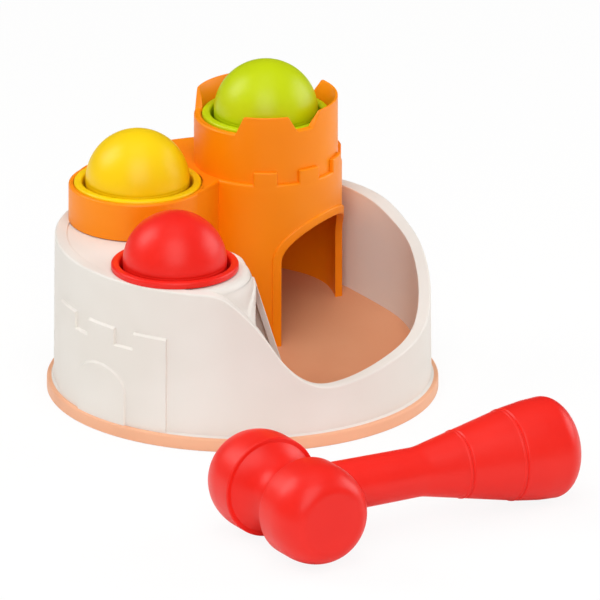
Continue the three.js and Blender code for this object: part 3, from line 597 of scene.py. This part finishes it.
def merlonRow():
    # small blocks: a rounded section of radius and height swept over a heading, drawn in at both ends
    row, outer = body["merlons"], body["tower"]
    back = -body["step"] - row["lap"]
    section = rounded([(back, -row["sunk"], 0), (0, -row["sunk"], 0), (0, row["height"], row["soft"]),
                       (back, row["height"], row["backEdge"])], 5, closed=True)
    t = np.linspace(-1, 1, row["columns"])
    t = np.sign(t) * (1 - (1 - np.abs(t)) ** row["crowd"])  # columns crowd towards the ends
    span = np.radians(row["width"] / 2) * outer
    past = np.clip((np.abs(t) * span - span + row["soft"]) / row["soft"], 0, 1)
    shrink = row["soft"] * (1 - np.sqrt(1 - past ** 2))
    islands = []
    for i in range(row["count"]):
        heading = row["heading"] + (i - (row["count"] - 1) / 2) * row["pitch"] + t * row["width"] / 2
        out = outer + np.minimum(section[None, :, 0], -shrink[:, None])
        high = body["top"] + np.minimum(section[None, :, 1], row["height"] - shrink[:, None])
        block = raised(tower + way(heading)[:, None] * out[..., None], high)
        caps = [np.stack([block[k], np.broadcast_to(block[k].mean(axis=0), block[k].shape)]) for k in (0, -1)]
        islands.append([block, *caps])
    return islands


def lowDrum():
    # lathe: side, rounded top edge, sunk seat for the ring and the drop hole
    top, recess = body["top"], body["recess"]
    outer, seat, hole = body["drumRadius"], body["seat"], body["hole"]
    profile = rounded([(outer, deckTop, 0), (outer, top, body["edge"]), (seat, top, body["seatEdge"]),
                       (seat, recess, 0), (hole, recess, body["holeEdge"]), (hole, deckTop, 0)], closed=True)
    return [[turned(profile, drum, body["sides"])]]


def platform():
    # patch between four edges (drum arc, tower arc, straight link, back arc): the sum of both rulings less
    # the corners' bilinear blend; its section rounds over at the link and at the back
    plate = body["platform"]
    u = np.linspace(0, 1, plate["across"])
    v = np.linspace(0, 1, plate["along"])
    towerSize = body["tower"] - plate["towerLap"]
    out = way(body["link"])
    along = np.array([-out[1], out[0]])
    start = drum + out * body["drumRadius"]
    gap = tower - start
    abreast = gap @ along
    reach = abreast - np.sqrt(towerSize ** 2 - (gap @ out) ** 2)
    end = start + along * reach
    facing = np.mod(np.degrees(np.arctan2(*((end - tower) * [1, -1]))), 360)

    def drumEdge(s):
        # along the drum's side, soon sunk into it
        turn = body["link"] + s * (plate["drumTurn"] - body["link"])
        return drum + way(turn) * (body["drumRadius"] - plate["drumLap"] * ease(s * plate["ends"]))[..., None]

    def towerEdge(s):
        # along the tower's side, sunk into it
        return tower + way(facing + s * (plate["towerTurn"] - facing)) * towerSize

    first, last = drumEdge(np.array(1.0)), towerEdge(np.array(1.0))
    fromTurn, toTurn = (np.mod(np.degrees(np.arctan2(p[0], -p[1])), 360) for p in (first, last))
    ends = plate["ends"]  # the back edge's first and last part lead to the drum and the tower
    size = np.linalg.norm(first) + (body["back"] - np.linalg.norm(first)) * ease(v * ends)
    size = size + (np.linalg.norm(last) - body["back"]) * ease(v * ends - (ends - 1))
    backEdge = way(fromTurn + v * (toTurn - fromTurn)) * size[:, None]
    linkEdge = start + np.outer(v, end - start)

    def patch(s):
        s = np.asarray(s)[None, :, None]
        w = v[:, None, None]
        near, far = drumEdge(s[0, :, 0])[None], towerEdge(s[0, :, 0])[None]
        ruled = (1 - w) * near + w * far + (1 - s) * linkEdge[:, None] + s * backEdge[:, None]
        atLink = (1 - w) * linkEdge[0] + w * linkEdge[-1]
        atBack = (1 - w) * backEdge[0] + w * backEdge[-1]
        return ruled - ((1 - s) * atLink + s * atBack)

    top, edge = body["top"] - plate["sunk"], body["edge"]
    bend = np.radians(np.linspace(0, 90, plate["bends"]))
    inset = edge / plate["width"]
    over = np.concatenate([[0], inset * (1 - np.cos(bend)), u[1:-1], 1 - inset * (1 - np.cos(bend[::-1]))])
    count = len(over)
    z = np.concatenate([[deckTop], top - edge + edge * np.sin(bend), np.full(len(u) - 2, top),
                        top - edge + edge * np.sin(bend[::-1]), np.full(count, deckTop)])
    plan = patch(np.concatenate([over, over[::-1]]))  # over the top, and back along the underside
    inside = np.concatenate([np.full(len(bend) + len(u) - 1, body["back"] - edge),
                             body["back"] - edge * (1 - np.cos(bend[::-1])), np.full(count, body["back"])])
    plan = plan * np.minimum(1, inside[None] / np.linalg.norm(plan, axis=-1))[..., None]
    block = raised(plan, z[None])
    caps = [np.stack([block[k, :count], block[k, count:][::-1]]) for k in (0, -1)]
    return [[block, *caps]]


def valleyWall():
    # upright strip along the drum's arc and the straight link, down into the floor
    heading = np.linspace(body["join"], body["link"], 12)
    out = way(body["link"])
    along = np.array([-out[1], out[0]])
    arc = drum + way(heading) * body["drumRadius"]
    line = arc[-1] + np.outer(np.linspace(0, body["linkLength"], 8)[1:], along)
    path = np.concatenate([arc, line])
    facing = np.concatenate([way(heading), np.broadcast_to(out, line.shape)])
    inner = -body["wall"]
    section = np.array([(0, baseTop), (0, deckTop), (inner, deckTop), (inner, baseTop), (0, baseTop)])
    strip = raised(path[:, None] + facing[:, None] * section[None, :, :1], section[None, :, 1])
    return [[strip]]


orangeNodes = ["castle_body"]
makePiece("doorTower", doorTower(), "castle", finishes["orange"], orangeNodes)
makePiece("castleBody", merlonRow() + lowDrum() + platform() + valleyWall(), "castle", finishes["orange"],
          orangeNodes)
print("orange body made")

# crown
crown = {
    "inner": 29.7, "outer": 33.1, "foot": 88.0, "seat": 114.0, "ledge": 4.5, "hole": 27.5, "soft": 0.9,
    "slant": 7.5, "corner": 1.3, "door": 54, "lower": 0.9, "tip": 1.1, "tipEdge": 0.4, "taper": 6.5,
    "shoulder": 1.3, "seam": -60, "columns": 181,
    "notches": [(-28, -13, 7.2), (81, 99.5, 7.2), (206, 280.5, 9.0)],
}


def towerCrown():
    # closed section of tube, ledge and rounded top, carried round; the top follows the battlements' outline,
    # which is a run of straight edges with rounded corners, and is thinner on the battlements than in the gaps
    scale = np.radians(1) * crown["outer"]
    corners = []
    for left, right, depth in crown["notches"]:
        slant = crown["slant"]
        corners += [(left - slant, 0), (left, -depth), (right, -depth), (right + slant, 0)]
    corners = np.array(corners)
    outline = np.column_stack([corners[:, 0] * scale, corners[:, 1], np.full(len(corners), crown["corner"])])
    start, end = crown["seam"], crown["seam"] + 360
    outline = rounded([(start * scale, 0, 0), *outline, (end * scale, 0, 0)], 7)
    heading = np.unique(np.concatenate([outline[:, 0] / scale, np.linspace(start, end, crown["columns"])]))
    drop = np.interp(heading * scale, outline[:, 0], outline[:, 1])
    inner, outer, seat = crown["inner"], crown["outer"], crown["seat"]
    soft, fine = crown["soft"], crown["tipEdge"]
    tip = outer - crown["tip"]
    below = crown["shoulder"] * soft
    thick = rounded([(outer, -below, 0), (outer, 0, soft), (inner, 0, soft), (inner, -below, 0)])
    thin = rounded([(outer, -below, 0), (outer, 0, fine), (tip, 0, fine), (inner, -crown["taper"], 0)])
    share = ease(1 + drop / crown["taper"])[:, None, None]
    crest = thick * (1 - share) + thin * share
    lower = np.array([(inner, seat), (crown["hole"], seat), (crown["hole"], seat - crown["ledge"]),
                      (inner, seat - crown["ledge"]), (inner, crown["foot"]), (outer, crown["foot"])])
    lowRadius, lowHeight = (np.broadcast_to(lower[None, :, k], (len(heading), len(lower))) for k in (0, 1))
    radius = np.concatenate([crest[..., 0], lowRadius, crest[:, :1, 0]], axis=1)
    high = crownTop - crown["lower"] + drop[:, None] + crest[..., 1]
    height = np.concatenate([high, lowHeight, high[:, :1]], axis=1)
    return [[raised(tower + way(heading + crown["door"])[:, None] * radius[..., None], height)]]


makePiece("towerCrown", towerCrown(), "castle", finishes["orange"], ["tower_crown"],
          sharp=50)
print("crown made")

# stations
station = {
    "inner": 25.6, "tube": 27.2, "outer": 29.4, "flange": 3.0, "depth": 12.0, "soft": 1.1, "fine": 0.3,
    "grip": 2.0, "lip": 21.13, "lipSlope": 2, "lipDrop": 0.6, "gripEdge": 0.2, "gripSides": 96,
    "ball": 24.0, "seam": 0.1, "seamWidth": 0.35, "seamSpan": 2.5, "seamRows": 21, "capFrom": 3, "capRows": 44,
    "sides": 120,
}


def stationRing(centre, top):
    # lathe: thin tube with a round-edged flange on top
    inner, tube, outer = station["inner"], station["tube"], station["outer"]
    foot, under = top - station["depth"], top - station["flange"]
    soft, fine = station["soft"], station["fine"]
    profile = rounded([(inner, foot, fine), (tube, foot, fine), (tube, under, 0), (outer, under, fine),
                       (outer, top, soft), (inner, top, soft)], closed=True)
    return [[turned(profile, centre, station["sides"])]]


def stationGrip(centre, top):
    # lathe: soft washer, thinner towards its lip
    head = top - station["depth"]
    foot = head - station["grip"]
    tube, lip, drop = station["tube"], station["lip"], station["lipDrop"]
    edge, fine = station["gripEdge"], station["fine"]
    profile = rounded([(tube, foot, edge), (tube, head, edge), (lip + station["lipSlope"], head, fine),
                       (lip, head - drop, fine), (lip + drop, foot, fine)], 4, closed=True)
    return [[turned(profile, centre, station["gripSides"])]]


def stationBall(centre, top):
    # sphere from two halves: radius over latitude, with a hair-line groove where they are welded
    near, span = station["capFrom"], station["seamSpan"]  # latitudes; rows are closer at the seam
    capRows, seamRows = station["capRows"], station["seamRows"]
    turn = np.concatenate([np.linspace(-90, -near, capRows), np.linspace(-span, span, seamRows),
                           np.linspace(near, 90, capRows)])
    groove = station["seam"] * np.exp(-(np.radians(turn) * station["ball"] / station["seamWidth"]) ** 2)
    size = station["ball"] - groove
    profile = np.column_stack([size * np.cos(np.radians(turn)), top + size * np.sin(np.radians(turn))])
    profile[[0, -1], 0] = 0
    return [[turned(profile, centre, station["sides"])]]


for colour, centre in (("green", tower), ("yellow", drum), ("red", hood)):
    top = topOf(f"{colour}_ring")
    hard, soft = finishes[colour], finishes[f"{colour}Soft"]
    halves = [f"{colour}_ball_upper", f"{colour}_ball_lower"]
    makePiece(f"{colour}Ring", stationRing(centre, top), "castle", hard, [f"{colour}_ring"])
    makePiece(f"{colour}Grip", stationGrip(centre, top), "castle", soft, [f"{colour}_grip"])
    makePiece(f"{colour}Ball", stationBall(centre, top), f"{colour}_ball", hard, halves)
print("stations made")

# hammer
hammer = {
    "across": 20.6, "away": -215.8, "turn": 30.1, "handleTurn": 29.2, "height": 24.5, "sides": 97,
    "radius": 23.8, "face": 13.5, "reach": 42.5, "bandTo": 24.5, "inner": 14.6, "soft": 0.8, "noseSteps": 24,
    "waistMiddle": 14.5, "waistEnd": 21.6, "waistSteps": 33,
    "handleAt": [8, 67.5, 70, 117, 128, 136], "handleRadius": [12.1, 11.6, 11.9, 21.8, 23.3, 23.7],
    "handleSteps": 120, "length": 149.4,
    "grooves": [89.4, 115], "groove": 0.6, "grooveAt": 0.35, "grooveWidth": 0.45, "grooveSpan": (-4, 2, 37),
    "lip": 0.3, "lipWidth": 1.5, "lipRise": 0.5, "lipFall": 0.3,
}


def onHammer(radius, along, sideways):
    # lathe about the handle's or the head's axis, turned to where the hammer lies
    angle = np.radians(np.linspace(0, 360, hammer["sides"]))[:, None]
    ring = [radius * np.cos(angle), radius * np.sin(angle)]
    length = np.broadcast_to(along, ring[0].shape)
    local = np.stack([ring[0], length, ring[1]] if sideways else [length, ring[0], ring[1]], axis=-1)
    ahead = way((hammer["turn"] if sideways else hammer["handleTurn"]) + 90)
    left = np.array([-ahead[1], ahead[0]])
    plan = np.array([hammer["across"], hammer["away"]]) + local[..., :1] * ahead + local[..., 1:2] * left
    return raised(plan, hammer["height"] + local[..., 2])


def hammerCap(side):
    # flat inner end with a small round, straight band, quarter ellipse to a flat face
    wide, face, inner = hammer["radius"], hammer["face"], hammer["inner"]
    nose = np.radians(np.linspace(0, 90, hammer["noseSteps"]))
    back = rounded([(0, inner, 0), (wide, inner, hammer["soft"]), (wide, hammer["bandTo"], 0)], 7)
    front = np.column_stack([face + (wide - face) * np.cos(nose),
                             hammer["bandTo"] + (hammer["reach"] - hammer["bandTo"]) * np.sin(nose)])
    profile = np.concatenate([back, front, [(0, hammer["reach"])]])
    return [[onHammer(profile[:, 0], side * profile[:, 1], True)]]


def hammerWaist():
    # parabola between the two caps
    middle, end, inner = hammer["waistMiddle"], hammer["waistEnd"], hammer["inner"]
    along = np.linspace(-inner, inner, hammer["waistSteps"])
    radius = middle + (end - middle) * (along / inner) ** 2
    radius = np.concatenate([[0], radius, [0]])
    along = np.concatenate([along[:1], along, along[-1:]])
    return [[onHammer(radius, along, True)]]


def hammerHandle():
    # straight shaft and flare through given radii, rings with a raised lip before a sunk line, and a
    # quarter ellipse as the end
    first, last = hammer["handleAt"][0], hammer["handleAt"][-1]
    fine = [groove + np.linspace(*hammer["grooveSpan"]) for groove in hammer["grooves"]]
    along = np.unique(np.concatenate([np.linspace(first, last, hammer["handleSteps"]), *fine]))
    radius = np.interp(along, hammer["handleAt"], hammer["handleRadius"])
    for groove in hammer["grooves"]:
        past = along - groove
        rise = np.clip((past + hammer["lipWidth"]) / hammer["lipRise"], 0, 1)
        rise = rise * np.clip(-past / hammer["lipFall"], 0, 1)
        sunk = np.exp(-((past - hammer["grooveAt"]) / hammer["grooveWidth"]) ** 2)
        radius = radius + hammer["lip"] * rise - hammer["groove"] * sunk
    nose = np.radians(np.linspace(0, 90, hammer["noseSteps"]))[1:]
    radius = np.concatenate([[0], radius, radius[-1] * np.cos(nose)])
    along = np.concatenate([along[:1], along, last + (hammer["length"] - last) * np.sin(nose)])
    radius[-1] = 0
    return [[onHammer(radius, along, False)]]


makePiece("hammerWaist", hammerWaist(), "hammer", finishes["red"], ["hammer_waist"])
makePiece("hammerCapFront", hammerCap(-1), "hammer", finishes["red"], ["hammer_cap_front"])
makePiece("hammerCapRear", hammerCap(1), "hammer", finishes["red"], ["hammer_cap_rear"])
makePiece("hammerHandle", hammerHandle(), "hammer", finishes["red"], ["hammer_handle"])
for name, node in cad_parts.items():
    if name.startswith("base_screw"):
        node.data.materials.clear()
        node.data.materials.append(finishes["steel"])
print("hammer and screws made")

# stage, light and camera
studio = {"floor": 3.0, "floorColour": "#F7F6F4", "glow": 0.9, "world": 0.28, "mirrored": 0.03, "aim": 0.05}


def stageFloor():
    # plain sheet; seen directly it is lifted towards white, and it keeps part of the object's shadow
    size = studio["floor"] / 2
    mesh = bpy.data.meshes.new("floor")
    corners = [(-size, -size, 0), (size, -size, 0), (size, size, 0), (-size, size, 0)]
    mesh.from_pydata(corners, [], [(0, 1, 2, 3)])
    floor = bpy.data.objects.new("floor", mesh)
    bpy.context.scene.collection.objects.link(floor)
    paper = bpy.data.materials.new("studioPaper")
    paper.use_nodes = True
    tree = paper.node_tree
    tree.nodes.clear()
    path = addNode(tree, "ShaderNodeLightPath")
    seen = addNode(tree, "ShaderNodeMath", {1: studio["glow"]}, {0: path.outputs["Is Camera Ray"]},
                   operation="MULTIPLY")
    matt = addNode(tree, "ShaderNodeBsdfDiffuse", {"Color": linear(studio["floorColour"])})
    glow = addNode(tree, "ShaderNodeEmission", {"Strength": 1.0})
    both = addNode(tree, "ShaderNodeMixShader", {},
                   {0: seen.outputs[0], 1: matt.outputs[0], 2: glow.outputs[0]})
    addNode(tree, "ShaderNodeOutputMaterial", {}, {"Surface": both.outputs[0]})
    mesh.materials.append(paper)


def studioWorld():
    # even pale room light, dim in reflections; white where the camera looks past the floor
    world = bpy.data.worlds.new("studio")
    bpy.context.scene.world = world
    world.use_nodes = True
    tree = world.node_tree
    tree.nodes.clear()
    path = addNode(tree, "ShaderNodeLightPath")
    room = addNode(tree, "ShaderNodeBackground", {"Color": (1, 1, 1, 1), "Strength": studio["world"]})
    seen = addNode(tree, "ShaderNodeBackground", {"Color": (1, 1, 1, 1), "Strength": 1.0})
    dim = addNode(tree, "ShaderNodeBackground", {"Color": (1, 1, 1, 1), "Strength": studio["mirrored"]})
    lit = addNode(tree, "ShaderNodeMixShader", {}, {0: path.outputs["Is Glossy Ray"], 1: room.outputs[0],
                                                   2: dim.outputs[0]})
    both = addNode(tree, "ShaderNodeMixShader", {}, {0: path.outputs["Is Camera Ray"], 1: lit.outputs[0],
                                                    2: seen.outputs[0]})
    addNode(tree, "ShaderNodeOutputWorld", {}, {"Surface": both.outputs[0]})


softboxes = [  # place in metres, size in metres, watts, seen in reflections
    {"name": "leftBox", "at": (-0.92, 0.22, 0.85), "size": (0.6, 0.7), "power": 5.6, "mirrored": True},
    {"name": "rightBox", "at": (1.05, 0.35, 0.5), "size": (0.9, 0.7), "power": 6.0, "mirrored": True},
    {"name": "frontBox", "at": (0.0, -0.97, 0.9), "size": (0.8, 1.3), "power": 9.2, "mirrored": True},
    {"name": "topBox", "at": (0.0, 0.0, 1.3), "size": (0.8, 0.6), "power": 3.2, "mirrored": False},
]


def softbox(at, size, power, name, mirrored):
    # area light that faces a point over the middle of the floor
    light = bpy.data.lights.new(name, "AREA")
    light.shape = "RECTANGLE"
    light.size, light.size_y = size
    light.energy = power
    lamp = bpy.data.objects.new(name, light)
    bpy.context.scene.collection.objects.link(lamp)
    lamp.location = at
    lamp.visible_glossy = mirrored
    back = np.array(at) - np.array([0.0, 0.0, studio["aim"]])
    turn = np.arctan2(back[1], back[0]) + np.pi / 2
    lamp.rotation_euler = (np.arctan2(np.hypot(back[0], back[1]), back[2]), 0, turn)


shot = {"elevation": 20, "scale": 0.2758, "target": (0.02637, 0.0, 0.04203), "distance": 1.4}


def camera():
    # parallel view along +Y, tipped down
    lens = bpy.data.cameras.new("camera")
    lens.type = "ORTHO"
    lens.ortho_scale = shot["scale"]
    eye = bpy.data.objects.new("camera", lens)
    bpy.context.scene.collection.objects.link(eye)
    tip = np.radians(shot["elevation"])
    back = np.array([0, -np.cos(tip), np.sin(tip)])
    eye.location = np.array(shot["target"]) + back * shot["distance"]
    eye.rotation_euler = (np.pi / 2 - tip, 0, 0)
    bpy.context.scene.camera = eye


stageFloor()
studioWorld()
for box in softboxes:
    softbox(**box)
camera()
bpy.context.scene.view_settings.view_transform = "Standard"

print("scene ready")
